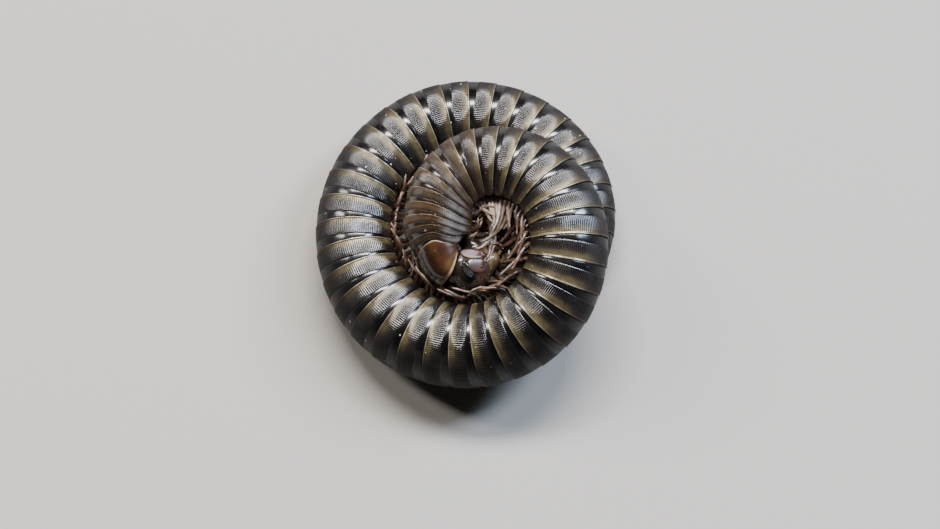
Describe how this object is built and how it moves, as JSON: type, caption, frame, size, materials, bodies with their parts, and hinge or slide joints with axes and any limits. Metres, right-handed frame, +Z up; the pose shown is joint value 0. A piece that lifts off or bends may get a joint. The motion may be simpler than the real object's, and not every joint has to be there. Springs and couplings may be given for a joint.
{
  "type": "coiled millipede",
  "caption": "Life-size still model of a black, bronze-banded millipede, curled in a flat spiral with its head in the middle and its legs folded along the inner side.",
  "frame": {"origin": "on the ground, under the middle of the coil's footprint", "axes": "+Z up, out of the coil's plane and through the animal's left side; the camera of the picture leans back towards -Y, and +X is to its right"},
  "size_m": [0.014, 0.0152, 0.0069],
  "materials": {
    "ring": "hard glossy cuticle, near black, with a bronze band and a pale rim at the back of each ring",
    "collum": "smooth glossy red-brown cuticle with a pale double rim",
    "head": "smooth dark brown cuticle, with paler mauve-brown plates at the jaws",
    "eye": "black, wet-looking patch of small round lenses",
    "feeler": "thin pale-brown cuticle, a little translucent at the joints"
  },
  "bodies": {
    "root": {"head": "head", "eye_left": "eye", "eye_right": "eye", "antenna_left": "feeler", "antenna_right": "feeler", "collum": "collum", "trunk_01": "ring", "trunk_02": "ring", "trunk_03": "ring", "trunk_04": "ring", "trunk_05": "ring", "trunk_06": "ring", "trunk_07": "ring", "trunk_08": "ring", "trunk_09": "ring", "trunk_10": "ring", "telson": "ring"}
  },
  "joints": []
}
